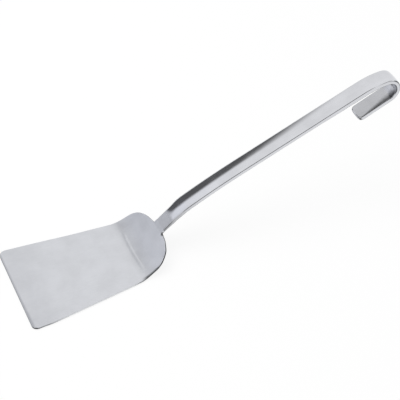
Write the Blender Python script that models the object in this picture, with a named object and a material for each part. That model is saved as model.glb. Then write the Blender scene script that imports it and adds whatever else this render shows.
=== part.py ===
"""Kitchen turner: a bent sheet blade welded to a flat strip handle that ends in a hook.

Metres, +Z up. The origin is the middle of the blade's flat underside. The tip points to -X, the heel and
the handle rise toward +X, and y = 0 is the plane of symmetry.

Blade and handle are both laid out flat and then bent, as they are made. The layout has three coordinates:
along (distance from the tip over the top surface), across (y) and depth (below the top surface). The
top surface of the whole turner follows one path in the side view, made of straight runs and bends.
"""
import math

import bmesh
import bpy
from mathutils import Vector

# Blade, a flat trapezium that is widest at its tip
BLADE_TIP_WIDTH = 0.0903
BLADE_CREASE_WIDTH = 0.067
BLADE_FLAT_RUN = 0.095
BLADE_THICKNESS = 0.0015
BLADE_EDGE_ROUND = 0.0003
TIP_CORNER_RADIUS = 0.005

# Crease and heel, where the sheet turns up toward the handle
CREASE_RADIUS = 0.0281
CREASE_ANGLE = math.radians(41.2)
HEEL_RUN = 0.0167
SHOULDER_RADIUS = 0.0224
HEEL_BACK_ANGLE = math.radians(10.4)

# Butt weld between the sheet and the strip, ground flush on top and left slightly proud below
WELD_WIDTH = 0.0016
WELD_BULGE = 0.0003
JOINT_GAP = 0.0003

# Handle, one flat strip from the weld to the end of the hook, ground thin toward the weld
STRIP_WIDTH = 0.0155
STRIP_THICKNESS = 0.0044
STRIP_EDGE_ROUND = 0.0008
STRIP_TAPER_RUN = 0.019
NECK_RUN = 0.0204
NECK_RADIUS = 0.0358
NECK_ANGLE = math.radians(14.8)
SWAY_RADIUS = 0.592
SWAY_ANGLE = math.radians(4.9)
GRIP_RUN = 0.1218

# Hook, curled down and back under the grip
LEAD_RADIUS = 0.0681
LEAD_ANGLE = math.radians(19.5)
HOOK_GAP = 0.0177
HOOK_ANGLE = math.radians(158.5)
RETURN_RUN = 0.0306
END_CORNER_RADIUS = 0.004

# Fineness of the round shapes
BEND_STEP = math.radians(6.0)
SHARP_ANGLE = math.radians(30.0)
CORNER_STEPS = 8
SHOULDER_STEPS = 16
EDGE_STEPS = 3
BEAD_STEPS = 6

UP = 1
DOWN = -1

# The weld takes up the room between the end of the sheet and the end of the strip
WELD_ROOM = WELD_WIDTH + 2 * JOINT_GAP

# The top surface's path from the tip to the end of the hook: length of each run, and its turn
PATH = [
    (BLADE_FLAT_RUN, 0.0),
    (CREASE_RADIUS * CREASE_ANGLE, UP * CREASE_ANGLE),
    (HEEL_RUN, 0.0),
    (WELD_ROOM, 0.0),
    (NECK_RUN, 0.0),
    (NECK_RADIUS * NECK_ANGLE, DOWN * NECK_ANGLE),
    (SWAY_RADIUS * SWAY_ANGLE, DOWN * SWAY_ANGLE),
    (GRIP_RUN, 0.0),
    (LEAD_RADIUS * LEAD_ANGLE, DOWN * LEAD_ANGLE),
    ((HOOK_GAP / 2 + STRIP_THICKNESS) * HOOK_ANGLE, DOWN * HOOK_ANGLE),
    (RETURN_RUN, 0.0),
]
HEEL_END = sum(length for length, turn in PATH[:3])
STRIP_START = HEEL_END + WELD_ROOM
PATH_END = sum(length for length, turn in PATH)


def clear_scene():
    """Remove whatever the file holds."""
    for obj in list(bpy.data.objects):
        bpy.data.objects.remove(obj, do_unlink=True)


def place(along, across, depth):
    """Point of the finished turner for a point of the flat layout."""
    x, z, heading = -BLADE_FLAT_RUN / 2, BLADE_THICKNESS, 0.0
    left = along
    for length, turn in PATH:
        step = min(left, length)
        part_turn = turn * step / length
        if turn:
            radius = length / turn
            x += radius * (math.sin(heading + part_turn) - math.sin(heading))
            z += radius * (math.cos(heading) - math.cos(heading + part_turn))
        else:
            x += step * math.cos(heading)
            z += step * math.sin(heading)
        heading += part_turn
        left -= step
        if left <= 0.0:
            break
    return Vector((x + depth * math.sin(heading), across, z - depth * math.cos(heading)))


def bend_lines():
    """Distances along the path where the flat solids are cut across, so that they can bend there."""
    lines = [STRIP_START + STRIP_TAPER_RUN]
    start = 0.0
    for length, turn in PATH:
        if turn:
            steps = math.ceil(abs(turn) / BEND_STEP)
            lines += [start + length * step / steps for step in range(steps + 1)]
        start += length
    return lines


def fillet(before, corner, after, radius, steps):
    """Points of the arc that rounds a corner of an outline."""
    inward = (before - corner).normalized()
    outward = (after - corner).normalized()
    half = inward.angle(outward) / 2
    centre = corner + (inward + outward).normalized() * radius / math.sin(half)
    first = corner + inward * radius / math.tan(half) - centre
    last = corner + outward * radius / math.tan(half) - centre
    turn = first.angle_signed(last)
    points = []
    for step in range(steps + 1):
        angle = -turn * step / steps
        spoke = Vector((first.x * math.cos(angle) - first.y * math.sin(angle),
                        first.x * math.sin(angle) + first.y * math.cos(angle)))
        points.append(centre + spoke)
    return points


def mirrored(points):
    """An outline's half from tip to end, closed by its mirror image across y = 0."""
    return points + [Vector((point.x, -point.y)) for point in reversed(points)]


def blade_outline():
    """The sheet's outline in the flat: tapered sides, round shoulders and a back edge up to the strip."""
    crease_corner = BLADE_FLAT_RUN + CREASE_RADIUS * math.tan(CREASE_ANGLE / 2)
    tip = Vector((0.0, BLADE_TIP_WIDTH / 2))
    side = Vector((crease_corner, (BLADE_CREASE_WIDTH - BLADE_TIP_WIDTH) / 2))
    notch = Vector((HEEL_END, STRIP_WIDTH / 2))
    back_slope = math.tan(HEEL_BACK_ANGLE)
    taper = side.y / side.x
    reach = notch.x + back_slope * (notch.y - tip.y)
    shoulder_x = reach / (1 + back_slope * taper)
    shoulder = Vector((shoulder_x, tip.y + taper * shoulder_x))
    middle = Vector((0.0, 0.0))
    half = fillet(middle, tip, shoulder, TIP_CORNER_RADIUS, CORNER_STEPS)
    half += fillet(tip, shoulder, notch, SHOULDER_RADIUS, SHOULDER_STEPS)
    half.append(notch)
    return mirrored(half)


def strip_outline():
    """The handle strip's outline in the flat: square at the weld, rounded corners at the hook's end."""
    start = Vector((STRIP_START, STRIP_WIDTH / 2))
    corner = Vector((PATH_END, STRIP_WIDTH / 2))
    middle = Vector((PATH_END, 0.0))
    half = [start] + fillet(start, corner, middle, END_CORNER_RADIUS, CORNER_STEPS)
    return mirrored(half)


def sheet_depth(along, depth):
    """The sheet is equally thick all over."""
    return depth


def strip_depth(along, depth):
    """The strip's underside rises toward the weld, where the strip is as thin as the sheet."""
    thin_share = BLADE_THICKNESS / STRIP_THICKNESS
    reached_share = min((along - STRIP_START) / STRIP_TAPER_RUN, 1.0)
    return depth * (thin_share + (1.0 - thin_share) * reached_share)


def bent_stock(name, outline, thickness, edge_round, joined_at, depth_rule, material):
    """Cut an outline from flat stock, round its edges except at the weld, and bend it along the path."""
    bm = bmesh.new()
    top = bm.faces.new([bm.verts.new((point.x, point.y, 0.0)) for point in outline])
    raised = bmesh.ops.extrude_face_region(bm, geom=[top])
    lower = [item for item in raised["geom"] if isinstance(item, bmesh.types.BMVert)]
    bmesh.ops.translate(bm, verts=lower, vec=(0.0, 0.0, -thickness))
    bmesh.ops.recalc_face_normals(bm, faces=bm.faces)

    rims = []
    for edge in bm.edges:
        first, last = (vert.co for vert in edge.verts)
        level = abs(first.z - last.z) < edge_round
        at_weld = all(abs(co.x - joined_at) < edge_round for co in (first, last))
        if level and not at_weld:
            rims.append(edge)
    bmesh.ops.bevel(bm, geom=rims, offset=edge_round, segments=EDGE_STEPS, profile=0.5, affect="EDGES",
                    clamp_overlap=True)

    low = min(point.x for point in outline)
    high = max(point.x for point in outline)
    for line in bend_lines():
        if low < line < high:
            everything = list(bm.verts) + list(bm.edges) + list(bm.faces)
            bmesh.ops.bisect_plane(bm, geom=everything, plane_co=(line, 0.0, 0.0), plane_no=(1.0, 0.0, 0.0))
    for vert in bm.verts:
        vert.co = place(vert.co.x, vert.co.y, depth_rule(vert.co.x, -vert.co.z))
    return add_object(name, bm, material)


def weld_section():
    """The weld's outline as (along, depth): square sides, a flat top and a round bead below."""
    left = HEEL_END + JOINT_GAP
    section = [Vector((left + WELD_WIDTH, 0.0)), Vector((left, 0.0))]
    for step in range(BEAD_STEPS + 1):
        share = step / BEAD_STEPS
        bulge = WELD_BULGE * math.sin(math.pi * share)
        section.append(Vector((left + WELD_WIDTH * share, BLADE_THICKNESS + bulge)))
    return section


def weld_seam(name, material):
    """Run the weld's section across the whole width of the strip."""
    bm = bmesh.new()
    near = [bm.verts.new(place(point.x, -STRIP_WIDTH / 2, point.y)) for point in weld_section()]
    end = bm.faces.new(near)
    run = bmesh.ops.extrude_face_region(bm, geom=[end])
    far = [item for item in run["geom"] if isinstance(item, bmesh.types.BMVert)]
    bmesh.ops.translate(bm, verts=far, vec=(0.0, STRIP_WIDTH, 0.0))
    bmesh.ops.recalc_face_normals(bm, faces=bm.faces)
    return add_object(name, bm, material)


def steel(name, colour, roughness):
    """Bare stainless steel in one finish."""
    material = bpy.data.materials.new(name)
    material.use_nodes = True
    shader = material.node_tree.nodes["Principled BSDF"]
    shader.inputs["Base Color"].default_value = (*colour, 1.0)
    shader.inputs["Metallic"].default_value = 1.0
    shader.inputs["Roughness"].default_value = roughness
    material.diffuse_color = (*colour, 1.0)
    return material


def add_object(name, bm, material):
    """Turn the finished geometry into a named object."""
    mesh = bpy.data.meshes.new(name)
    bm.to_mesh(mesh)
    bm.free()
    mesh.materials.append(material)
    mesh.shade_smooth()
    mesh.set_sharp_from_angle(angle=SHARP_ANGLE)
    obj = bpy.data.objects.new(name, mesh)
    bpy.context.scene.collection.objects.link(obj)
    return obj


def main():
    clear_scene()
    satin = steel("satin_steel", (0.66, 0.67, 0.69), 0.34)
    polished = steel("polished_steel", (0.70, 0.70, 0.72), 0.16)
    ground = steel("ground_weld", (0.60, 0.60, 0.61), 0.30)
    bent_stock("blade", blade_outline(), BLADE_THICKNESS, BLADE_EDGE_ROUND, HEEL_END, sheet_depth, satin)
    bent_stock("handle", strip_outline(), STRIP_THICKNESS, STRIP_EDGE_ROUND, STRIP_START, strip_depth,
               polished)
    weld_seam("weld_seam", ground)


main()
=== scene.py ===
"""Looks of a steel kitchen turner: a satin blade and a polished strip handle, joined by a ground weld.

Blade and handle are each laid out flat and then bent along one path, as the real pieces are. The flat
layout has three coordinates, in metres: along (distance from the blade's tip), across, and depth below
the top surface. Every vertex keeps them in the attribute "layout", so that grain and scratches follow
the metal round its bends. The near side is where across is below 0, the far side where it is above.
"""
import math
from functools import partial
from types import SimpleNamespace

import bpy
import numpy as np
from mathutils import Matrix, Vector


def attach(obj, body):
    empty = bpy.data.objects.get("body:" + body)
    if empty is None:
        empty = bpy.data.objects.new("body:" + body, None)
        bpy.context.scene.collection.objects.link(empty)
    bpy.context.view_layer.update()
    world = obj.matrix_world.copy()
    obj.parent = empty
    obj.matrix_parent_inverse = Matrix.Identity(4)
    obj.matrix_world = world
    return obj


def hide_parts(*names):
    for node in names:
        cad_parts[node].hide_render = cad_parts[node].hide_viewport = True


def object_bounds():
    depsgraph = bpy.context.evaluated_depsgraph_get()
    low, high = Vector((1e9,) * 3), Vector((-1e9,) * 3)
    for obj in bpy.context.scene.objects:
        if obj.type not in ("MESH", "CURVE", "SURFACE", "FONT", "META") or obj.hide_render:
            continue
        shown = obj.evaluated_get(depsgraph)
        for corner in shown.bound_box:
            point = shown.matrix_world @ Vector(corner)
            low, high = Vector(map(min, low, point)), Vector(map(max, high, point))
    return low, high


bl_info = {
    "name": "Kitchen Turner",
    "version": (1, 0, 0),
    "blender": (4, 5, 0),
    "location": "3D View > Sidebar > Turner",
    "description": "Builds a steel kitchen turner with its materials and a plain studio",
    "category": "Add Mesh",
}

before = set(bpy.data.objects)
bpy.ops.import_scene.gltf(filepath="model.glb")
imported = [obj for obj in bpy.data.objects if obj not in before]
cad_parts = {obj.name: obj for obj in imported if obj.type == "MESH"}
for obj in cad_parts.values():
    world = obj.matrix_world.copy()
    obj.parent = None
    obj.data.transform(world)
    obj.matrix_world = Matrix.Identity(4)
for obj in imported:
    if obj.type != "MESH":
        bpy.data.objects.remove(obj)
cad_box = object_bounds()

# How many runs of the side path lie before the place of that name
CREASE_START, HEEL_END, STRIP_START, HOOK_START, STRIP_END = 1, 3, 4, 9, 11

# Bell curves on the sheet, as middle and half width. The first two are counted from the tip, the third
# from the crease's start, the next two from the heel's end, and the last one across the sheet
CORNER_WEAR, SIDE_HOLLOW = (0.007, 0.007), (0.062, 0.018)
EARLY_LIFT, LATE_LIFT, SHOULDER_WEAR = (0.013, 0.0075), (-0.0055, 0.0035), (-0.0225, 0.011)
BACK_DIP = (-0.02, 0.0045)
# The late lift as a share of the early one, and the length over which the back edge's changes come in
LATE_SHARE, BACK_RUN = -0.4, 0.011

# The faint ridge that the press left: its height, its distance from the tip and its half width; its
# middle across the sheet, its bow, its reach and where it fades; and the share of it that shows below
MARK_HEIGHT, MARK_PLACE, MARK_WIDTH = 0.00019, 0.1021, 0.0011
MARK_MIDDLE, MARK_BOW, MARK_REACH, MARK_FADE, MARK_BELOW = -0.003, 2.0, 0.021, 0.003, 0.5

# The weld: half width of the bell curve in which it stands out on the near side, how proud its top is,
# the radius on its edges, and the height and the pitch of the ripples below
BLOB_WIDTH, WELD_PROUD, WELD_ROUND = 0.0025, 0.000008, 0.00012
RIPPLE_HEIGHT, RIPPLE_PITCH = 0.00006, 0.0011

# Rows of points in each run of the strip, from the neck to the hook's end
STRIP_ROWS = (26, 22, 14, 24, 26, 118, 14)

# The strip thickens with this power of the distance from the weld. Its rounding starts at this share
TAPER_POWER, ROOT_ROUNDING = 0.4, 0.25
# Where its crown starts, fully in at twice that, and how much polishing took off its top
CROWN_START, POLISHED_OFF = 0.0105, 0.000012

# Distances from the weld, and how much thicker or thinner than usual the strip is there
UNEVEN_PLACES = (0.156, 0.178, 0.201, 0.224, 0.238, 0.258, 0.268)
UNEVEN_THICKNESS = (-0.0003, 0.0004, 0.0006, 0.0002, -0.00035, -0.00035, 0.0)

# Where the hook's end starts to be bent in, counted from the hook's start, and over what length
CLOSE_START, CLOSE_RUN = 0.024, 0.018

# The three steels. Grain: length, width and change of roughness. Clouds: size and change of roughness.
# Scratches: turn, length, width and amount. Relief: grain height and scratch depth. Near weld
# darkness: how much darker the surface and the rim are near the weld. Ground: how dark the painted
# shade along the near shoulder and the dark spot at the near tip corner are
SATIN = {
    "grain": (0.011, 0.0003, 0.07), "clouds": (0.021, 0.03), "relief": (0.0000009, 0.0000022),
    "scratches": ((0.06, 0.014, 0.00016, 0.6), (-0.5, 0.018, 0.00018, 0.45)),
    "rim_roughness": 0.2, "heat": (0.0, 0.0), "ground": 0.7}
POLISHED = {
    "grain": (0.026, 0.00022, 0.03), "clouds": (0.017, 0.015), "relief": (0.0000002, 0.0000012),
    "scratches": ((0.02, 0.02, 0.00014, 0.5), (0.9, 0.008, 0.00014, 0.3)),
    "rim_roughness": 0.075, "heat": (0.13, 0.6), "ground": 0.0}
WELD_METAL = {
    "grain": (0.006, 0.0003, 0.06), "clouds": (0.004, 0.03), "relief": (0.0000006, 0.0000015),
    "scratches": ((1.4, 0.006, 0.00012, 0.5),),
    "rim_roughness": 0.3, "heat": (0.06, 0.45), "ground": 0.0}

# The pit, from the heel's end and the strip's near side; the dark spot at the near tip corner, in the
# layout; the size of both; the painted shade along the near shoulder, from the heel's end and the
# tip's near side; the painted shade in the hook, from the hook's start
PIT_OFFSET, BRUISE_PLACE, SPOT_SIZE = (0.0003, -0.0008, 0.0009), (0.0028, -0.0436, 0.0), 0.0024
SHOULDER_OFFSET, STAIN_OFFSET = (-0.024, 0.0119), 0.021

# Where the brushed stretch fades out, from the strip's start, and where the two darker stretches near
# the weld fade out, each with its share. Beside the near edge the darkening shows this many times
# stronger, and on the rim it fades with the depth, from all to a tenth
BRUSHED_FADE = (0.0155, 0.007)
HEAT_FADES = ((0.032, 0.014, 0.65), (0.046, 0.032, 0.35))
NEAR_HEAT, NEAR_HEAT_WIDTH = 2.6, 0.0035
RIM_HEAT_FADE = (0.0015, 0.0006, 0.1, 1.0)

# Where the worn edge gives way to the dark edge, a painted dark reflection: from the crease's start,
# and, not wholly, from the tip.
# Where the underside begins, from the strip's thickness, and its sheared end, from the strip's end
CREASE_CUT, TIP_CUT = (-0.008, 0.006), (0.034, 0.006, 0.0, 0.9)
UNDERSIDE_FADE, SHEARED_FADE = (-0.001, -0.0004), (-0.0045, -0.002)

# The grain's share in the tone, and the darkest and lightest tone
GRAIN_SHARE, DARKEST, LIGHTEST = 0.45, 0.91, 1.08
# Colours: darkened steel, the underside's shade, the painted shade in the hook and the darker tip; and
# the shares of the darker tip, of the painted shade in the hook and of the dark spot at the near tip
# corner
SOOT, SHADE = (0.03, 0.03, 0.03), (0.02, 0.02, 0.02)
STAIN, DULL = (0.02, 0.02, 0.022), (0.2, 0.21, 0.24)
DULL_SHARE, STAIN_SHARE, BRUISE_SHARE = 0.5, 0.82, 0.75

# How much rougher scratches, the pit, the hook's bend and the strip's sheared end are
SCRATCH_ROUGH, PIT_ROUGH, BEND_ROUGH, SHEARED_ROUGH = 0.12, 0.4, 0.2, 0.3
PIT_DEPTH = 0.0002

# The direction's height over which the table gives way to the room, and round panels that the steel
# mirrors: azimuth, elevation, radius and softness, in degrees. The arch is the ring between two of
# them, as far as a third doesn't cover it. The window only tints the room
HORIZON_FADE = (-0.16, 0.02)
ARCH_OUTSIDE, ARCH_INSIDE = (-8.8, 9.5, 38.9, 2.1), (-8.8, 9.5, 25.0, 2.4)
ARCH_COVER = (100.3, 39.0, 77.3, 2.6)
DARK_PANELS = ((-153.0, 46.0, 27.0, 4.0), (138.0, 38.0, 17.0, 5.0), (102.0, -4.0, 24.0, 6.0))
WHITE_CARDS = ((158.0, -53.0, 22.0, 8.0), (172.0, -14.0, 26.0, 6.0), (46.0, -26.0, 34.0, 6.0),
               (-24.0, -64.0, 17.0, 6.0), (-50.0, -14.0, 14.0, 6.0))
WINDOW = (-62.0, 12.0, 38.0, 16.0)
ROOM_TINT, WINDOW_TINT = (0.985, 0.99, 1.0), (1.075, 1.095, 1.16)
FILL_LIGHT = 0.6

# The floor: how far it lies below the blade, and its reach. The lamp: its place and what it aims at
WHITE = (1.0, 1.0, 1.0)
FLOOR_DROP, FLOOR_REACH = 0.0004, 6.0
LAMP_PLACE, LAMP_AIM, LAMP_SIZE, LAMP_POWER = (-0.25, 0.35, 1.5), (0.1, 0.0, 0.0), 1.4, 17.0

# The camera: where it aims, how far off and at what angles in degrees it stands, and how it frames
CAMERA_AIM, CAMERA_DISTANCE = (0.126875, 0.0, 0.04025), 0.9365
CAMERA_AZIMUTH, CAMERA_ELEVATION, CAMERA_ROLL = -26.55, 46.12, 1.32
CAMERA_SHIFT = (-0.0266, -0.0197)
FOCAL_PIXELS, PICTURE_PIXELS, SENSOR_WIDTH = 1131.0, 400.0, 36.0


def length(name, description, default):
    """A size in metres that the panel shows with its unit."""
    return bpy.props.FloatProperty(name=name, description=description, default=default, min=0.0,
                                   precision=5, subtype="DISTANCE", unit="LENGTH")


def angle(name, description, degrees):
    """An angle that the panel shows in degrees."""
    return bpy.props.FloatProperty(name=name, description=description, default=math.radians(degrees),
                                   subtype="ANGLE", unit="ROTATION")


def colour(name, description, default):
    """A linear colour."""
    return bpy.props.FloatVectorProperty(name=name, description=description, default=default, size=3,
                                         min=0.0, max=1.0, subtype="COLOR")


def share(name, description, default):
    """A number from 0 to 1."""
    return bpy.props.FloatProperty(name=name, description=description, default=default, min=0.0,
                                   max=1.0, precision=3, subtype="FACTOR")


class TurnerBlade(bpy.types.PropertyGroup):
    """Sizes of the sheet: a flat blade, a crease and a raised heel."""

    tip_width: length("Tip width", "Width at the tip, if its corners were sharp", 0.09024)
    crease_width: length("Crease width", "Width at the middle of the crease", 0.067)
    flat_run: length("Flat length", "From the tip to the crease", 0.095)
    thickness: length("Thickness", "Thickness of the sheet", 0.0015)
    edge_round: length("Edge rounding", "Radius on the sheet's edges", 0.0003)
    corner_radius: length("Tip corner radius", "Radius of the two tip corners", 0.0055)
    corner_wear: length("Corner wear", "What more is worn off at the near tip corner", 0.0011)
    tip_wear: length("Tip wear", "How far the tip is ground back", 0.0007)
    shoulder_wear: length("Shoulder grinding", "What was ground off at the near shoulder", 0.0012)
    side_hollow: length("Side hollow", "How far the far side bows in", 0.0004)
    back_dip: length("Back edge dip", "What was ground off the back edge's near half", 0.0007)
    back_skew: angle("Back edge skew", "How far the back edge is out of square", 3.0)
    crease_radius: length("Crease radius", "Radius of the crease", 0.0281)
    crease_turn: angle("Crease angle", "How far the sheet turns up", 41.2)
    crease_lift: length("Crease lift", "How far it stands above a plain bend", 0.0004)
    heel_run: length("Heel length", "Flat part of the heel up to the weld", 0.0167)
    shoulder_radius: length("Shoulder radius", "Radius of the heel's round shoulders", 0.0224)
    back_slope: angle("Back edge slope", "How far the back edge leans forward", 10.4)


class TurnerWeld(bpy.types.PropertyGroup):
    """Sizes of the butt weld between the sheet and the strip."""

    width: length("Weld width", "Weld metal between the two edges", 0.0016)
    gap: length("Joint gap", "Space beside the weld in the frame", 0.0003)
    overlap: length("Overlap", "How far it reaches into each neighbour", 0.0009)
    blob: length("End blob", "How far it stands out on the near side", 0.0008)
    bulge: length("Root bulge", "How far it stands out below", 0.0006)


class TurnerHandle(bpy.types.PropertyGroup):
    """Sizes of the strip: neck, grip and hook."""

    width: length("Strip width", "Width of the strip", 0.0153)
    root_ground: length("Root grinding", "What was ground off each side at the weld", 0.0008)
    root_reach: length("Root grinding length", "Where that grinding ends", 0.026)
    thickness: length("Strip thickness", "Thickness along the grip", 0.0044)
    edge_round: length("Edge rounding", "Radius on the strip's long edges", 0.00105)
    crown: angle("Crown", "Tilt of the top beside the edges", 4.5)
    hollow: angle("Hollow", "Tilt of the underside beside the edges", 4.5)
    taper_run: length("Taper length", "Where it is thin toward the weld", 0.019)
    neck_run: length("Neck length", "Straight part between weld and neck bend", 0.0204)
    neck_radius: length("Neck radius", "Radius of the neck bend", 0.0358)
    neck_turn: angle("Neck angle", "How far the neck bends down", 14.8)
    sway_radius: length("Sway radius", "Radius of the shallow bend after it", 0.592)
    sway_turn: angle("Sway angle", "How far the shallow bend turns down", 4.9)
    grip_run: length("Grip length", "Straight part of the grip", 0.1218)
    lead_radius: length("Lead radius", "Radius of the bend before the hook", 0.0681)
    lead_turn: angle("Lead angle", "How far it turns down", 19.5)
    hook_gap: length("Hook gap", "Free space inside the hook", 0.0177)
    hook_turn: angle("Hook angle", "How far the hook turns back", 158.5)
    return_run: length("Return length", "Straight part after the hook's bend", 0.0306)
    corner_radius: length("End corner radius", "Radius of the two corners at the end", 0.004)
    skew: angle("Handle skew", "How far it points to the far side", 0.26)
    hook_close: length("Hook closing", "How far the end is bent in at its near edge", 0.0004)
    hook_twist: length("Hook twist", "How much more at its far edge", 0.0008)


class TurnerFinish(bpy.types.PropertyGroup):
    """Colours and finishes of the steel."""

    satin_colour: colour("Satin colour", "Steel of the blade", (0.668, 0.676, 0.702))
    satin_roughness: share("Satin roughness", "Middle roughness of the blade", 0.36)
    polished_colour: colour("Polished colour", "Steel of the handle", (0.66, 0.664, 0.686))
    polished_roughness: share("Polished roughness", "Middle roughness of the handle's top", 0.075)
    underside_roughness: share("Underside roughness", "Middle roughness of its underside", 0.14)
    underside_shade: share("Underside shade", "How much darker that underside is", 0.25)
    weld_colour: colour("Weld colour", "Ground weld metal", (0.662, 0.669, 0.694))
    weld_roughness: share("Weld roughness", "Middle roughness of the weld", 0.34)
    # The pit's dark colour is painted shade of the notch corner between strip and heel
    soot_colour: colour("Pit colour", "Oxide in the small pit at the weld", (0.035, 0.032, 0.03))
    worn_colour: colour("Worn edge colour", "Flat blade's edge, polished by use", (0.72, 0.725, 0.74))
    # The dark edge colour is a painted dark reflection on the sheared edges
    cut_colour: colour("Cut edge colour", "Sheared edge of the heel and the tip", (0.07, 0.07, 0.073))


class TurnerStage(bpy.types.PropertyGroup):
    """Floor, light and camera."""

    floor_colour: colour("Floor colour", "Plain floor", (0.9, 0.9, 0.9))
    floor_glow: share("Floor glow", "Share of its white that no shadow darkens", 0.86)
    arch_dark: share("Arch darkness", "How dark the arch that metal sees is", 0.875)
    room_dark: share("Panel darkness", "How dark the other panels are", 0.85)
    table_dark: share("Table darkness", "How dark metal sees what lies below", 0.85)


# Layout: the flat pieces and the path that bends them


def sizes():
    """The sizes of the blade, of the weld and of the handle."""
    scene = bpy.context.scene
    return scene.turner_blade, scene.turner_weld, scene.turner_handle


def side_path():
    """Runs of the top surface in the side view: rows of length and turn, which is positive upward."""
    blade, weld, handle = sizes()
    hook_radius = handle.hook_gap / 2 + handle.thickness
    return np.array([
        (blade.flat_run, 0.0),
        (blade.crease_radius * blade.crease_turn, blade.crease_turn),
        (blade.heel_run, 0.0),
        (weld.width + 2 * weld.gap, 0.0),
        (handle.neck_run, 0.0),
        (handle.neck_radius * handle.neck_turn, -handle.neck_turn),
        (handle.sway_radius * handle.sway_turn, -handle.sway_turn),
        (handle.grip_run, 0.0),
        (handle.lead_radius * handle.lead_turn, -handle.lead_turn),
        (hook_radius * handle.hook_turn, -handle.hook_turn),
        (handle.return_run, 0.0),
    ])


def place_of(count):
    """Distance from the tip to the end of the path's first runs."""
    return side_path()[:count, 0].sum()


def bend(layout):
    """Points of the finished turner for points (along, across, depth) of the flat layout.

    Each run of the path adds a straight step to the top line's x and z, or an arc of radius length /
    turn, and its turn to the heading. A point lies its depth below the top line, square to it.
    """
    blade, *_ = sizes()
    along, across, depth = np.moveaxis(layout, -1, 0)
    x = np.full(along.shape, -blade.flat_run / 2)
    z = np.full(along.shape, blade.thickness)
    heading = np.zeros(along.shape)
    passed = 0.0
    for run, turn in side_path():
        step = np.clip(along - passed, 0.0, run)
        swing = turn * step / run
        if turn:
            radius = run / turn
            x += radius * (np.sin(heading + swing) - np.sin(heading))
            z += radius * (np.cos(heading) - np.cos(heading + swing))
        else:
            x += step * np.cos(heading)
            z += step * np.sin(heading)
        heading += swing
        passed += run
    return np.stack((x + depth * np.sin(heading), across, z - depth * np.cos(heading)), axis=-1)


def bell(place, middle, width):
    """A bell curve: e to the power of minus the square of the distance from its middle, in widths."""
    return np.exp(-((place - middle) / width) ** 2)


def smooth(part):
    """A smooth step, 3 t squared - 2 t cubed, for a part t that is cut off at 0 and 1."""
    part = np.clip(part, 0.0, 1.0)
    return part * part * (3.0 - 2.0 * part)


def eased(along, places, values):
    """Values that go from each place's value to the next one's in a smooth step."""
    count = np.arange(len(places))
    position = np.interp(along, places, count)
    part = position % 1.0
    return np.interp(position - part + smooth(part), count, values)


def with_blob(layout):
    """The layout's points, moved out on the near side beside the weld, where its metal ran out.

    The move is a bell curve along, times the fourth power of the distance from the middle.
    """
    _, weld, handle = sizes()
    bulged = layout.copy()
    near = np.clip(-layout[:, 1] / (handle.width / 2), 0.0, 1.0) ** 4
    bulged[:, 1] -= weld.blob * near * bell(layout[:, 0], place_of(HEEL_END) + weld.width, BLOB_WIDTH)
    return bulged


def unit(vector):
    """A vector or an array of them, made one long."""
    return vector / np.linalg.norm(vector, axis=-1, keepdims=True)


def straight(start, end, steps):
    """Points from start to end in equal steps, and for each the line's normal on its left."""
    points = start + np.linspace(0.0, 1.0, steps + 1)[:, None] * (end - start)
    heading = unit(end - start)
    return points, np.tile((-heading[1], heading[0]), (steps + 1, 1))


def rounded(before, corner, after, radius, steps):
    """Points and outward normals of the arc that rounds a corner.

    The centre lies on the corner's bisector, radius / sin(half the corner's angle) from the corner.
    The normals turn at an even rate from the first side's to the second's.
    """
    first, second = unit(before - corner), unit(after - corner)
    half = math.acos(np.clip(first @ second, -1.0, 1.0)) / 2
    centre = corner + unit(first + second) * radius / math.sin(half)
    start, end = (math.atan2(*(corner + side * radius / math.tan(half) - centre)[::-1])
                  for side in (first, second))
    angles = np.linspace(start, end, steps + 1)
    normals = np.stack((np.cos(angles), np.sin(angles)), axis=-1)
    return centre + radius * normals, normals


def chain(*stretches):
    """Stretches of an outline, one after the other, each as points and normals."""
    return tuple(np.concatenate(rows) for rows in zip(*stretches))


def mitred(first, second):
    """The vector that moves a sharp corner out by one when both its sides move out by one."""
    first, second = np.array(first), np.array(second)
    return (first + second) / (1.0 + first @ second)


def quarter(edge_round, thickness, tilt, steps):
    """A quarter round from a surface's tilt to upright: its reach, and its share of the thickness."""
    swing = np.linspace(tilt, math.pi / 2, steps + 1)
    reach = (np.sin(swing) - math.sin(tilt)) / (1.0 - math.sin(tilt))
    return reach, edge_round * (math.cos(tilt) - np.cos(swing)) / thickness


def rim_profile(edge_round, thickness, steps, crown=0.0, hollow=0.0):
    """The edge's section as rows of reach and depth share, from the top surface to the bottom one.

    A quarter round, a flat side and another quarter round. Reach is a share of the rounding's width.
    """
    top_reach, top_drop = quarter(edge_round, thickness, crown, steps)
    low_reach, low_drop = quarter(edge_round, thickness, -hollow, steps)
    side = np.linspace(top_drop[-1], 1.0 - low_drop[-1], 5)[1:-1]
    return np.stack((np.concatenate((top_reach, np.ones(len(side)), low_reach[::-1])),
                     np.concatenate((top_drop, side, 1.0 - low_drop[::-1]))), axis=-1)


def columns_across(count, guard):
    """Places from -1 to 1: evenly spread ones, and one at each edge, where the rounding starts."""
    return np.concatenate(([-1.0], np.linspace(-1.0 + guard, 1.0 - guard, count), [1.0]))


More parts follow.
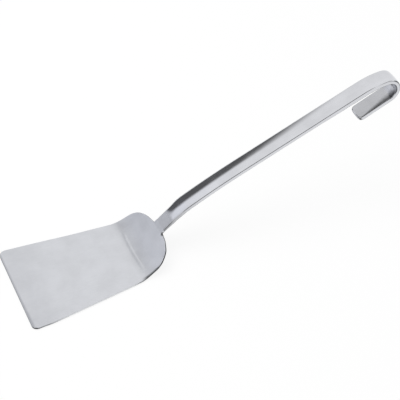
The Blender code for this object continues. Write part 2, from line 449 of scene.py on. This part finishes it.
def plate(outline, spread, columns, surfaces, profile):
    """A closed plate in the flat layout: its points, its faces and how far each is out on the rim.

    The half outline's rows, drawn in by the rounding's width, are crossed by columns from one side to
    the other. That grid is used twice, at the depths of top and bottom. The rim's section is carried
    round its border between them: reach times the spread outward, and a share of the depth.
    """
    rows, width = len(outline), len(columns)
    inner = outline - spread
    grid = np.stack((np.broadcast_to(inner[:, :1], (rows, width)), inner[:, 1:] * columns), axis=-1)
    top, bottom = surfaces(grid[..., 0], np.broadcast_to(columns, (rows, width)))

    index = np.arange(rows * width).reshape(rows, width)
    border = np.concatenate((index[:, -1], index[-1, -2:0:-1], index[::-1, 0], index[0, 1:-1]))
    end, start = (np.tile((spread[row, 0], 0.0), (width - 2, 1)) for row in (-1, 0))
    outward = np.concatenate((spread, end, (spread * (1.0, -1.0))[::-1], start))

    flat = grid.reshape(-1, 2)
    top, bottom = top.ravel(), bottom.ravel()
    reach, fall = profile[1:-1, 0], profile[1:-1, 1]
    ring_place = flat[border] + reach[:, None, None] * outward
    ring_depth = top[border] + fall[:, None] * (bottom - top)[border]
    points = np.concatenate((
        np.column_stack((flat, top)),
        np.concatenate((ring_place, ring_depth[..., None]), axis=-1).reshape(-1, 3),
        np.column_stack((flat, bottom))))

    count = len(border)
    rings = len(flat) + np.arange(len(reach) * count).reshape(len(reach), count)
    low = len(flat) + rings.size
    rings = np.concatenate((border[None], rings, border[None] + low))
    upper, lower = rings[:-1], rings[1:]
    top_faces = np.stack((index[:-1, :-1], index[1:, :-1], index[1:, 1:], index[:-1, 1:]), axis=-1)
    top_faces = top_faces.reshape(-1, 4)
    rim_faces = np.stack((upper, np.roll(upper, -1, 1), np.roll(lower, -1, 1), lower), axis=-1)
    faces = np.concatenate((top_faces, rim_faces.reshape(-1, 4), top_faces[:, ::-1] + low))
    inland = np.zeros(len(flat))
    rim = np.concatenate((inland, np.repeat(np.sin(math.pi * fall) ** 0.25, count), inland))
    return points, faces, rim


def add_object(name, data):
    """A new object in the scene."""
    obj = bpy.data.objects.new(name, data)
    bpy.context.scene.collection.objects.link(obj)
    return obj


def add_piece(name, places, layout, faces, rim, material, node):
    """Make the piece that stands for a CAD node. Its points keep their place in the flat layout."""
    mesh = bpy.data.meshes.new(name)
    mesh.from_pydata(places.tolist(), [], faces.tolist())
    mesh.attributes.new("layout", "FLOAT_VECTOR", "POINT").data.foreach_set("vector", layout.ravel())
    mesh.attributes.new("rim", "FLOAT", "POINT").data.foreach_set("value", rim)
    mesh.materials.append(material)
    mesh.shade_smooth()
    mesh.update()
    piece = add_object(name, mesh)
    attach(piece, "root")
    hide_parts(node)


# Materials


def add_node(tree, kind, sockets=None, **settings):
    """A new node with its settings, and its sockets by name: each is joined to a socket or set."""
    node = tree.nodes.new(kind)
    for key, value in settings.items():
        setattr(node, key, value)
    for key, value in (sockets or {}).items():
        if isinstance(value, bpy.types.NodeSocket):
            tree.links.new(value, node.inputs[key])
        else:
            node.inputs[key].default_value = value
    return node


def tree_of(*values):
    """The node tree that the first socket among the values is in."""
    return next(value for value in values if isinstance(value, bpy.types.NodeSocket)).id_data


def result(kind, sockets, output=0, **settings):
    """What a new node puts out, in the tree of the sockets that it is joined to."""
    return add_node(tree_of(*sockets.values()), kind, sockets, **settings).outputs[output]


def maths(operation, *values):
    """The result of one kind of sum on all values, one after the other."""
    total = values[0]
    for value in values[1:]:
        total = result("ShaderNodeMath", {0: total, 1: value}, operation=operation)
    return total


# The product, the sum, the difference and the highest of all values
times, plus, minus, highest = (
    partial(maths, operation) for operation in ("MULTIPLY", "ADD", "SUBTRACT", "MAXIMUM"))


def vector_maths(operation, first, second, output="Vector"):
    """The result of one sum on two vectors."""
    return result("ShaderNodeVectorMath", {0: first, 1: second}, output, operation=operation)


def parts_of(vector):
    """A vector's three parts, X, Y and Z."""
    return add_node(vector.id_data, "ShaderNodeSeparateXYZ", {0: vector}).outputs


def in_cells(vector, x, y, z):
    """A vector counted in cells of this size, so that a pattern on it gets that size."""
    return vector_maths("DIVIDE", vector, result("ShaderNodeCombineXYZ", {"X": x, "Y": y, "Z": z}))


def ramp(value, low, high, to_low=0.0, to_high=1.0, kind="SMOOTHSTEP"):
    """A rise from one value to another while the given value goes from low to high."""
    sockets = {"Value": value, "From Min": low, "From Max": high, "To Min": to_low, "To Max": to_high}
    return result("ShaderNodeMapRange", sockets, interpolation_type=kind)


def opaque(colour):
    """A colour as its node wants it: a socket as it is, and three numbers with a full alpha."""
    return colour if isinstance(colour, bpy.types.NodeSocket) else (*colour, 1.0)


def blended(factor, first, second):
    """A mix of two colours."""
    sockets = {0: factor, 6: opaque(first), 7: opaque(second)}
    return result("ShaderNodeMix", sockets, 2, data_type="RGBA")


def noise(vector, detail, roughness=0.5, scale=1.0):
    """Noise from 0 to 1."""
    sockets = {"Vector": vector, "Scale": scale, "Detail": detail, "Roughness": roughness}
    return result("ShaderNodeTexNoise", sockets)


def start_group(name, **inputs):
    """A new shader node group: its Vector input and more inputs with their defaults, by name."""
    group = bpy.data.node_groups.new(name, "ShaderNodeTree")
    for label, default in {"Vector": (0.0, 0.0, 0.0), **inputs}.items():
        kind = "NodeSocketVector" if isinstance(default, tuple) else "NodeSocketFloat"
        socket = group.interface.new_socket(name=label, in_out="INPUT", socket_type=kind)
        socket.default_value = default
    return group.nodes.new("NodeGroupInput").outputs


def end_group(**results):
    """A node group's outputs, by name, with what feeds them."""
    group = tree_of(*results.values())
    for label in results:
        group.interface.new_socket(name=label, in_out="OUTPUT", socket_type="NodeSocketFloat")
    add_node(group, "NodeGroupOutput", results)


def use_group(name, vector, **inputs):
    """A node group's outputs for a vector and its other inputs."""
    group = bpy.data.node_groups[name]
    sockets = {"Vector": vector, **inputs}
    return add_node(vector.id_data, "ShaderNodeGroup", sockets, node_tree=group).outputs


def grain_group():
    """Brush grain: noise drawn out along the layout's first axis, a coarse and a fine one added."""
    given = start_group("Brush Grain", Length=0.01, Width=0.0002)
    place = in_cells(given["Vector"], given["Length"], given["Width"], given["Width"])
    coarse = noise(place, 3.0, 0.6)
    fine = noise(vector_maths("MULTIPLY", place, (2.3, 3.7, 3.7)), 2.0, 0.6)
    both = plus(times(coarse, 0.6), times(fine, 0.4))
    end_group(Grain=ramp(both, 0.32, 0.68))


def cloud_group():
    """Cloudy tone: soft patches, where the metal was handled and wiped."""
    given = start_group("Wiped Clouds", Size=0.02)
    place = in_cells(given["Vector"], *[given["Size"]] * 3)
    end_group(Cloud=ramp(noise(place, 4.0, 0.55), 0.3, 0.7))


def scratch_group():
    """Hairline scratches: the crests of a noise drawn out one way, broken up by a softer one."""
    given = start_group("Hairline Scratches", Turn=0.3, Length=0.02, Width=0.0002, Amount=0.5)
    sockets = {"Vector": given["Vector"], "Angle": given["Turn"]}
    turned = result("ShaderNodeVectorRotate", sockets, rotation_type="Z_AXIS")
    place = in_cells(turned, given["Length"], given["Width"], given["Length"])
    crest = ramp(noise(place, 1.0), 0.66, 0.74)
    softer = noise(vector_maths("MULTIPLY", place, (0.7, 0.02, 0.7)), 2.0)
    end_group(Scratch=times(crest, ramp(softer, 0.45, 0.6), given["Amount"]))


def wear_group():
    """Rim: the rim share, broken up by noise. Along the flat blade it is worn; behind the crease and
    at the tip it carries a painted dark reflection.
    """
    given = start_group("Edge Wear", Rim=0.0, Size=0.003)
    place = in_cells(given["Vector"], *[given["Size"]] * 3)
    patches = plus(times(noise(place, 3.0), 0.8), 0.4)
    end_group(Wear=ramp(times(given["Rim"], patches), 0.25, 0.9))


def spot_group():
    """Dark spot, such as the pit at the weld or the one at the near tip corner: ragged, around one
    point of the layout.
    """
    given = start_group("Dark Spot", Centre=(0.0, 0.0, 0.0), Size=0.001)
    ragged = times(noise(given["Vector"], 2.0, scale=1800.0), 0.6)
    away = vector_maths("DISTANCE", given["Vector"], given["Centre"], "Value")
    end_group(Spot=ramp(plus(maths("DIVIDE", away, given["Size"]), ragged), 1.3, 0.6))


def tip_group():
    """Darker tip: strongest at its edge and its near corner, and fading from both in soft patches.

    A third, fainter share fades over the blade's front half.
    """
    given = start_group("Worn Tip", Corner=(0.0, -0.045, 0.0), Reach=0.004, Spread=0.055)
    patches = noise(given["Vector"], 3.0, scale=110.0)
    along = parts_of(given["Vector"])["X"]
    edge = ramp(maths("DIVIDE", along, given["Reach"]), 1.0, 0.0)
    away = vector_maths("DISTANCE", given["Vector"], given["Corner"], "Value")
    corner = ramp(maths("DIVIDE", away, given["Spread"]), 1.0, 0.0, 0.0, 0.33)
    front = times(ramp(along, 0.048, 0.006, 0.0, 0.27), plus(times(patches, 0.8), 0.6))
    both = plus(edge, times(corner, plus(patches, 0.5)))
    end_group(Dull=ramp(highest(both, front), 0.0, 1.0))


def hook_group():
    """Hook shade: a painted shade, a wedge beside the near edge inside the hook, wide in the bend.

    Its width falls evenly from 10.5 mm at its start to 0.6 mm at 45 mm from there. It leaves a bright
    line along the edge. A second output is the stretch of the bend that stayed rough.
    """
    given = start_group("Hook Stain", Start=0.38, Half=0.0078)
    parts = parts_of(given["Vector"])
    onward = minus(parts["X"], given["Start"])
    inward = plus(parts["Y"], given["Half"])
    width = ramp(onward, 0.0, 0.045, 0.0105, 0.0006, "LINEAR")
    patches = times(noise(given["Vector"], 2.0, scale=400.0), 0.3)
    wedge = ramp(plus(maths("DIVIDE", inward, width), patches), 1.3, 0.35)
    end_group(Stain=times(wedge, ramp(inward, 0.0004, 0.0013), ramp(onward, 0.0, 0.006)),
              Bend=times(ramp(onward, -0.004, 0.004), ramp(onward, 0.018, 0.008)))


def shoulder_group():
    """Shoulder shade: a painted shade, a dark band along the blade's near edge, around one point of
    it.
    """
    given = start_group("Ground Shoulder", Centre=(0.0, 0.0, 0.0), Taper=0.11)
    parts = parts_of(vector_maths("SUBTRACT", given["Vector"], given["Centre"]))
    inward = minus(parts["Y"], times(parts["X"], given["Taper"]))
    away = result("ShaderNodeMath", {0: parts["X"]}, operation="ABSOLUTE")
    end_group(Ground=times(ramp(inward, 0.0029, 0.0015), ramp(away, 0.0115, 0.005)))


def make_groups():
    """Every node group, once."""
    if "Brush Grain" not in bpy.data.node_groups:
        for build in (grain_group, cloud_group, scratch_group, wear_group, spot_group, tip_group,
                      hook_group, shoulder_group):
            build()


def steel_masks(tree, grain, clouds, scratches):
    """What varies over the steel, from 0 to 1: patterns, the rim, and dark and rough places, painted
    shade among them.
    """
    blade, _, handle = sizes()
    half = handle.width / 2
    layout = add_node(tree, "ShaderNodeAttribute", attribute_name="layout").outputs["Vector"]
    rim = add_node(tree, "ShaderNodeAttribute", attribute_name="rim").outputs["Fac"]
    parts = parts_of(layout)
    pit_place = np.array((place_of(HEEL_END), -half, 0.0)) + PIT_OFFSET
    shoulder = np.array((place_of(HEEL_END), -blade.tip_width / 2)) + SHOULDER_OFFSET
    # ground: painted shade along the blade's near shoulder
    ground = use_group("Ground Shoulder", layout, Centre=(*shoulder, 0.0))[0]
    # A dark spot at the near tip corner
    bruise = use_group("Dark Spot", layout, Centre=BRUISE_PLACE, Size=SPOT_SIZE)[0]
    # Painted shade in the hook: a wedge beside the near edge, and the rougher bend
    hook = use_group("Hook Stain", layout, Start=place_of(HOOK_START) + STAIN_OFFSET,
                     Half=half)
    return SimpleNamespace(
        along=parts["X"], across=parts["Y"], depth=parts["Z"], stain=hook["Stain"], bend=hook["Bend"],
        lines=use_group("Brush Grain", layout, Length=grain[0], Width=grain[1])[0],
        cloud=use_group("Wiped Clouds", layout, Size=clouds[0])[0],
        hair=highest(*[use_group("Hairline Scratches", layout, Turn=turn, Length=long, Width=wide,
                                 Amount=amount)[0] for turn, long, wide, amount in scratches]),
        wear=use_group("Edge Wear", layout, Rim=rim)[0],
        pit=use_group("Dark Spot", layout, Centre=pit_place, Size=SPOT_SIZE)[0],
        dull=use_group("Worn Tip", layout)[0],
        # ground: the painted shade along the near shoulder, with the dark spot at the near tip corner
        ground=highest(ground, times(bruise, BRUISE_SHARE)),
        below=ramp(parts["Z"], *[handle.thickness + place for place in UNDERSIDE_FADE]),
        brushed=ramp(parts["X"], *[place_of(STRIP_START) + place for place in BRUSHED_FADE]))


def steel_colour(masks, base, rim_colours, heat, ground):
    """The steel's colour: grain and clouds vary its tone, and dark places, painted shade among them,
    lie one over the other.
    """
    finish, half = bpy.context.scene.turner_finish, bpy.context.scene.turner_handle.width / 2
    tone = np.array(base)
    mix = plus(times(masks.lines, GRAIN_SHARE), times(masks.cloud, 1.0 - GRAIN_SHARE))
    surface = blended(mix, tone * DARKEST, np.minimum(tone * LIGHTEST, 1.0))
    # cut: share of the rim with a painted dark reflection, behind the crease and mostly at the tip
    behind = ramp(masks.along, *[place_of(CREASE_START) + place for place in CREASE_CUT])
    cut = highest(behind, ramp(masks.along, *TIP_CUT))
    start = place_of(STRIP_START)
    # Darker near the weld: two stretches of the strip, most beside its near edge, and its upper rim on
    # the brushed stretch
    warmed = plus(*[ramp(masks.along, start + far, start + near, 0.0, part * heat[0])
                    for far, near, part in HEAT_FADES])
    beside = ramp(masks.across, -half + NEAR_HEAT_WIDTH, -half, 1.0, NEAR_HEAT)
    upper_rim = times(masks.wear, ramp(masks.depth, *RIM_HEAT_FADE))
    burnt = plus(times(masks.brushed, upper_rim, heat[1]), times(warmed, beside))
    # Painted shade in the hook, on the underside and off the rim
    stained = times(masks.stain, masks.below, minus(1.0, masks.wear), STAIN_SHARE)
    for mask, tint in (
            # Darker toward the tip's edge and its near corner
            (times(masks.dull, DULL_SHARE), DULL),
            (times(masks.below, finish.underside_shade), SHADE),
            (stained, STAIN),
            # Painted shade along the near shoulder, and the dark spot at the near tip corner
            (times(masks.ground, ground), SOOT),
            # Rim colour: worn along the flat blade, a painted dark reflection behind the crease and at
            # the tip
            (masks.wear, blended(cut, *rim_colours)),
            (burnt, SOOT),
            # The small pit at the weld: a pit in its bump and roughness, and painted shade of the
            # notch corner in its colour
            (masks.pit, finish.soot_colour)):
        surface = blended(mask, surface, tint)
    return surface


def steel_roughness(masks, roughness, cloud_change, grain_change, rim_roughness):
    """The steel's roughness: patterns and places change the surface's, and the rim has its own."""
    top, brushed, underside = roughness
    start, end = (place_of(STRIP_END) + place for place in SHEARED_FADE)
    surface = plus(
        ramp(masks.cloud, 0.0, 1.0, -cloud_change, cloud_change),
        ramp(masks.brushed, 0.0, 1.0, top, brushed),
        times(masks.below, underside - top),
        times(masks.below, masks.bend, BEND_ROUGH),
        times(minus(masks.lines, 0.5), grain_change),
        times(masks.hair, SCRATCH_ROUGH))
    sheared = ramp(masks.along, start, end, 0.0, SHEARED_ROUGH)
    rim_change = minus(plus(sheared, rim_roughness), surface)
    return plus(surface, times(masks.wear, rim_change), times(masks.pit, PIT_ROUGH))


def steel(name, base, roughness, rim_colours, grain, clouds, scratches, relief, rim_roughness, heat,
          ground):
    """Bare steel in one finish.

    Roughness is that of the top, of the brushed stretch near the weld, and of the underside. The rim
    has two colours: one along the flat blade, where use has polished it, and a dark one behind the
    crease and at the tip, a painted dark reflection.
    """
    make_groups()
    material = bpy.data.materials.new(name)
    material.use_nodes = True
    tree = material.node_tree
    shader = tree.nodes["Principled BSDF"].inputs
    shader["Metallic"].default_value = 1.0
    masks = steel_masks(tree, grain, clouds, scratches)
    tree.links.new(steel_colour(masks, base, rim_colours, heat, ground), shader["Base Color"])
    rough = steel_roughness(masks, roughness, clouds[1], grain[2], rim_roughness)
    tree.links.new(rough, shader["Roughness"])
    height = minus(times(masks.lines, relief[0]), times(masks.hair, relief[1]),
                   times(masks.pit, PIT_DEPTH))
    bump = result("ShaderNodeBump", {"Height": height, "Distance": 1.0, "Strength": 1.0})
    tree.links.new(bump, shader["Normal"])
    return material


# Pieces


def blade_outline(blade, notch):
    """Half of the sheet's outline, with its normals: tip corner, side, round shoulder and back edge.

    The sharp corner of the shoulder lies where the line of the side meets that of the back edge.
    """
    crease = blade.flat_run + blade.crease_radius * math.tan(blade.crease_turn / 2)
    tip = np.array((blade.tip_wear, blade.tip_width / 2))
    lean = math.tan(blade.back_slope)
    taper = (blade.crease_width - blade.tip_width) / 2 / crease
    reach = (notch[0] + lean * (notch[1] - tip[1])) / (1.0 + lean * taper)
    shoulder = np.array((reach, tip[1] + taper * reach))
    corner = rounded(tip * (1.0, 0.0), tip, shoulder, blade.corner_radius, steps=12)
    curve = rounded(tip, shoulder, notch, blade.shoulder_radius, steps=56)
    # The last seventh of the side lies in the bend, and has closer points
    bend_start = corner[0][-1] + (curve[0][0] - corner[0][-1]) * 0.86
    outline, normals = chain(
        corner,
        [part[1:] for part in straight(corner[0][-1], bend_start, steps=26)],
        [part[1:-1] for part in straight(bend_start, curve[0][0], steps=22)],
        curve,
        [part[1:] for part in straight(curve[0][-1], notch, steps=14)])
    normals[-1] = mitred(normals[-1], (1.0, 0.0))
    return outline, normals


class TURNER_OT_blade(bpy.types.Operator):
    """Make the blade: the flat part, the crease and the heel, from one sheet"""

    bl_idname = "turner.make_blade"
    bl_label = "Make Blade"

    def execute(self, context):
        blade, _, handle = sizes()
        finish = context.scene.turner_finish
        heel_end = place_of(HEEL_END)
        notch = np.array((heel_end, handle.width / 2 - handle.root_ground))
        outline, normals = blade_outline(blade, notch)

        def surfaces(along, across_share):
            """Flat, but for the press mark, a low ridge that fades at both ends.

            The bend also starts a little early and ends a little late: two bell curves along.
            """
            across = across_share * np.interp(along, outline[:, 0], outline[:, 1]) - MARK_MIDDLE
            lift = blade.crease_lift * (bell(along - blade.flat_run, *EARLY_LIFT)
                                        + LATE_SHARE * bell(along - heel_end, *LATE_LIFT))
            ridge = MARK_HEIGHT * bell(along, MARK_PLACE + MARK_BOW * across ** 2, MARK_WIDTH)
            ridge *= 0.5 + 0.5 * np.tanh((MARK_REACH - np.abs(across)) / MARK_FADE)
            return -lift - ridge, blade.thickness - lift - MARK_BELOW * ridge

        points, faces, rim = plate(
            outline, normals * blade.edge_round, columns_across(65, guard=0.004), surfaces,
            rim_profile(blade.edge_round, blade.thickness, steps=6))
        # The near side is ground in at two places and the far side at one, the more the further out
        along, across = points[:, 0].copy(), points[:, 1]
        outer = np.clip(np.abs(across) / notch[1] / 4, 0.0, 1.0) ** 2
        points[:, 1] += np.where(
            across < 0.0, outer * (blade.shoulder_wear * bell(along - heel_end, *SHOULDER_WEAR)
                                   + blade.corner_wear * bell(along, *CORNER_WEAR)),
            -outer * blade.side_hollow * bell(along, *SIDE_HOLLOW))
        # The back edge is skew, and dips in one bell curve on its near half
        dip = math.tan(blade.back_skew) * across + blade.back_dip * bell(across, *BACK_DIP)
        points[:, 0] -= smooth((along - heel_end) / BACK_RUN + 1.0) * dip
        satin = steel("satin_sheet", finish.satin_colour, (finish.satin_roughness,) * 3,
                      (finish.worn_colour, finish.cut_colour), **SATIN)
        places = bend(with_blob(points))
        add_piece("blade_sheet", places, points, faces, rim, satin, "blade")
        return {"FINISHED"}


class TURNER_OT_handle(bpy.types.Operator):
    """Make the handle: neck, grip and hook, from one strip"""

    bl_idname = "turner.make_handle"
    bl_label = "Make Handle"

    def execute(self, context):
        blade, _, handle = sizes()
        finish = context.scene.turner_finish
        start, end, half = place_of(STRIP_START), place_of(STRIP_END), handle.width / 2
        stops = np.concatenate(([start], start + np.cumsum(side_path()[STRIP_START:, 0])))
        stops[-1] = end - handle.corner_radius
        places = np.concatenate([np.linspace(low, high, count, endpoint=False)
                                 for low, high, count in zip(stops[:-1], stops[1:], STRIP_ROWS)])
        ground = 1.0 - smooth(2.0 * (places - start) / handle.root_reach - 1.0)
        sides = np.column_stack((places, half - handle.root_ground * ground))
        corner = rounded(np.array((start, half)), np.array((end, half)), np.array((end, 0.0)),
                         handle.corner_radius, steps=12)
        outline, normals = chain((sides, np.tile((0.0, 1.0), (len(sides), 1))), corner)
        normals[0] = mitred((-1.0, 0.0), (0.0, 1.0))
        grown = np.clip((outline[:, :1] - start) / handle.taper_run, 0.0, 1.0)
        spread = normals * handle.edge_round * (ROOT_ROUNDING + (1.0 - ROOT_ROUNDING) * grown)

        def surfaces(along, across_share):
            """A crowned top and a hollow underside, each by the square of the distance across.

            Near the weld the strip is thin, and it is flat until crown and hollow come in smoothly. It
            is unevenly thick along the grip, and drawn thin round the hook's bend.
            """
            onward = along - start
            full = handle.thickness + eased(onward, UNEVEN_PLACES, UNEVEN_THICKNESS)
            grown = np.clip(onward / handle.taper_run, 0.0, 1.0) ** TAPER_POWER
            thick = blade.thickness + (full - blade.thickness) * grown
            onset = smooth((onward - CROWN_START) / CROWN_START) * half / 2
            return (POLISHED_OFF + onset * across_share ** 2 * math.tan(handle.crown),
                    thick - onset * (1.0 - across_share ** 2) * math.tan(handle.hollow))

        points, faces, rim = plate(
            outline, spread, columns_across(33, guard=0.012), surfaces,
            rim_profile(handle.edge_round, handle.thickness, 8, handle.crown, handle.hollow))
        # The end is bent in and twisted: the depth grows toward the end and toward the far edge
        bent = with_blob(points)
        bent[:, 2] += smooth((points[:, 0] - place_of(HOOK_START) - CLOSE_START) / CLOSE_RUN) * (
            handle.hook_close + handle.hook_twist * (0.5 + points[:, 1] / handle.width))
        # Welded on out of line: a point moves aside by its distance from the weld, times the skew
        places = bend(bent)
        places[:, 1] += math.tan(handle.skew) * (places[:, 0] - places[:, 0].min())
        polished = steel(
            "polished_strip", finish.polished_colour,
            (finish.polished_roughness, finish.satin_roughness, finish.underside_roughness),
            (finish.polished_colour,) * 2, **POLISHED)
        add_piece("handle_strip", places, points, faces, rim, polished, "handle")
        return {"FINISHED"}


class TURNER_OT_weld(bpy.types.Operator):
    """Make the weld: ground flush on top and left as laid below"""

    bl_idname = "turner.make_weld"
    bl_label = "Make Weld"

    def execute(self, context):
        blade, weld, handle = sizes()
        finish = context.scene.turner_finish
        joint = weld.width / 2 + weld.gap
        middle, reach = place_of(HEEL_END) + joint, joint + weld.overlap
        half = handle.width / 2 - handle.root_ground + 3 * WELD_PROUD
        ends = np.array(((middle - reach, half), (middle + reach, half)))
        sides, normals = straight(*ends, steps=24)
        normals[0] = mitred((-1.0, 0.0), (0.0, 1.0))
        normals[-1] = mitred((1.0, 0.0), (0.0, 1.0))

        def surfaces(along, across_share):
            """A flat top, a hair proud, and a root that bulges in a half wave, with ripples.

            The ripples are a sine wave across the joint that lags toward the joint's sides.
            """
            place = (along - middle) / reach
            hump = np.cos(place * math.pi / 2) ** 2
            wave = np.sin(2.0 * math.pi * across_share * half / RIPPLE_PITCH + 2.5 * place ** 2)
            root = blade.thickness + weld.bulge * hump + RIPPLE_HEIGHT * hump * wave
            return np.full(along.shape, -WELD_PROUD), root

        points, faces, rim = plate(
            sides, normals * WELD_ROUND, columns_across(161, guard=0.006), surfaces,
            rim_profile(WELD_ROUND, blade.thickness, steps=4))
        metal = steel("ground_weld_metal", finish.weld_colour, (finish.weld_roughness,) * 3,
                      (finish.weld_colour,) * 2, **WELD_METAL)
        # Its edges lie in its neighbours, so none of them is worn
        unworn, places = np.zeros(len(rim)), bend(with_blob(points))
        add_piece("weld_bead", places, points, faces, unworn, metal, "weld_seam")
        return {"FINISHED"}


# Stage


def direction(azimuth, elevation):
    """A unit vector: azimuth 0 is +Y and 90 is +X, elevation is above the horizon, both in degrees."""
    turn, lift = math.radians(azimuth), math.radians(elevation)
    return math.sin(turn) * math.cos(lift), math.cos(turn) * math.cos(lift), math.sin(lift)


def round_panel(seen, azimuth, elevation, radius, soft):
    """Share of a round soft-edged panel on the sky in the direction seen."""
    aim = vector_maths("DOT_PRODUCT", seen, direction(azimuth, elevation), "Value")
    return ramp(aim, math.cos(math.radians(radius + soft)), math.cos(math.radians(radius - soft)))


def make_world(stage):
    """A pale studio, white to the camera. Metal sees a bright room, dark panels and a dark table."""
    world = bpy.data.worlds.new("pale_studio")
    bpy.context.scene.world = world
    world.use_nodes = True
    tree = world.node_tree
    tree.nodes.clear()
    seen = add_node(tree, "ShaderNodeTexCoord").outputs["Generated"]

    outside, inside, cover, window = (
        round_panel(seen, *panel) for panel in (ARCH_OUTSIDE, ARCH_INSIDE, ARCH_COVER, WINDOW))
    arch = times(minus(outside, inside), minus(1.0, cover))
    upper = minus(1.0, times(arch, stage.arch_dark))
    for panel in DARK_PANELS:
        dark = times(round_panel(seen, *panel), stage.room_dark)
        upper = times(upper, minus(1.0, dark))
    cards = highest(*[round_panel(seen, *card) for card in WHITE_CARDS])
    lower = ramp(cards, 0.0, 1.0, 1.0 - stage.table_dark, 1.0)
    above = ramp(parts_of(seen)["Z"], *HORIZON_FADE)
    level = plus(times(above, upper), times(minus(1.0, above), lower))

    path = add_node(tree, "ShaderNodeLightPath").outputs
    tint = blended(window, ROOM_TINT, WINDOW_TINT)
    shown, mirrored, fill = (
        add_node(tree, "ShaderNodeBackground", {"Color": opaque(tone), "Strength": power}).outputs[0]
        for tone, power in ((WHITE, 1.0), (tint, level), (WHITE, FILL_LIGHT)))
    lit = result("ShaderNodeMixShader", {0: path["Is Glossy Ray"], 1: fill, 2: mirrored})
    whole = result("ShaderNodeMixShader", {0: path["Is Camera Ray"], 1: lit, 2: shown})
    add_node(tree, "ShaderNodeOutputWorld", {"Surface": whole})


def make_floor(stage):
    """A wide plain floor just under the blade, which keeps a soft shadow."""
    low = cad_box[0][2] - FLOOR_DROP
    mesh = bpy.data.meshes.new("floor")
    corners = ((-1, -1), (1, -1), (1, 1), (-1, 1))
    mesh.from_pydata([(x * FLOOR_REACH, y * FLOOR_REACH, low) for x, y in corners], [], [(0, 1, 2, 3)])
    floor = add_object("floor", mesh)
    floor.visible_glossy = False
    material = bpy.data.materials.new("plain_floor")
    material.use_nodes = True
    tree = material.node_tree
    tree.nodes.clear()
    path = add_node(tree, "ShaderNodeLightPath").outputs
    cover = add_node(tree, "ShaderNodeBsdfDiffuse", {"Color": opaque(stage.floor_colour)})
    glow = add_node(tree, "ShaderNodeEmission", {"Color": opaque(WHITE), "Strength": 1.0})
    mixed = add_node(tree, "ShaderNodeMixShader", {
        0: times(path["Is Camera Ray"], stage.floor_glow), 1: cover.outputs[0], 2: glow.outputs[0]})
    add_node(tree, "ShaderNodeOutputMaterial", {"Surface": mixed.outputs[0]})
    mesh.materials.append(material)


def make_lamp():
    """A large square lamp that lights the floor. Metal sees the bright room instead."""
    data = bpy.data.lights.new("overhead_softbox", "AREA")
    data.shape = "SQUARE"
    data.size = LAMP_SIZE
    data.energy = LAMP_POWER
    lamp = add_object("overhead_softbox", data)
    lamp.location = LAMP_PLACE
    x, y, z = unit(np.array(LAMP_AIM) - np.array(LAMP_PLACE))
    lamp.rotation_euler = (math.acos(-z), 0.0, math.atan2(y, x) - math.pi / 2)
    lamp.visible_glossy = False


def make_camera():
    """The camera, at its distance and angles from the aim point, with a slight roll."""
    roll = math.radians(CAMERA_ROLL)
    back = np.array(direction(180.0 - CAMERA_AZIMUTH, CAMERA_ELEVATION))
    level = unit(np.cross((0.0, 0.0, 1.0), back))
    upright = np.cross(back, level)
    turned = np.eye(4)
    turned[:3, 0] = math.cos(roll) * level + math.sin(roll) * upright
    turned[:3, 1] = math.cos(roll) * upright - math.sin(roll) * level
    turned[:3, 2] = back
    turned[:3, 3] = CAMERA_AIM + CAMERA_DISTANCE * back
    data = bpy.data.cameras.new("camera")
    data.sensor_width = SENSOR_WIDTH
    data.lens = FOCAL_PIXELS / PICTURE_PIXELS * SENSOR_WIDTH
    data.shift_x, data.shift_y = CAMERA_SHIFT
    data.clip_start, data.clip_end = 0.01, 50.0
    camera = add_object("camera", data)
    camera.matrix_world = Matrix(turned.tolist())
    bpy.context.scene.camera = camera


class TURNER_OT_stage(bpy.types.Operator):
    """Make the plain floor, the soft light and the camera"""

    bl_idname = "turner.make_stage"
    bl_label = "Make Stage"

    def execute(self, context):
        stage = context.scene.turner_stage
        make_world(stage)
        make_floor(stage)
        make_lamp()
        make_camera()
        context.scene.view_settings.view_transform = "Standard"
        return {"FINISHED"}


class TURNER_PT_panel(bpy.types.Panel):
    """Sizes, finishes and buttons of the turner"""

    bl_idname = "TURNER_PT_panel"
    bl_label = "Kitchen Turner"
    bl_space_type = "VIEW_3D"
    bl_region_type = "UI"
    bl_category = "Turner"

    def draw(self, context):
        for group in GROUPS:
            box = self.layout.box()
            box.label(text=group.removeprefix("turner_").capitalize())
            values = getattr(context.scene, group)
            for name in values.__annotations__:
                box.prop(values, name)
        for name in ("blade", "weld", "handle", "stage"):
            self.layout.operator(f"turner.make_{name}")


GROUPS = {"turner_blade": TurnerBlade, "turner_weld": TurnerWeld, "turner_handle": TurnerHandle,
          "turner_finish": TurnerFinish, "turner_stage": TurnerStage}
OTHERS = (TURNER_OT_blade, TURNER_OT_weld, TURNER_OT_handle, TURNER_OT_stage, TURNER_PT_panel)


def register():
    for name, group in GROUPS.items():
        bpy.utils.register_class(group)
        setattr(bpy.types.Scene, name, bpy.props.PointerProperty(type=group))
    for kind in OTHERS:
        bpy.utils.register_class(kind)


def unregister():
    for kind in reversed(OTHERS):
        bpy.utils.unregister_class(kind)
    for name, group in GROUPS.items():
        delattr(bpy.types.Scene, name)
        bpy.utils.unregister_class(group)


def main():
    """Make the turner and its stage."""
    register()
    bpy.ops.turner.make_blade()
    bpy.ops.turner.make_weld()
    bpy.ops.turner.make_handle()
    bpy.ops.turner.make_stage()


if __name__ == "__main__":
    main()
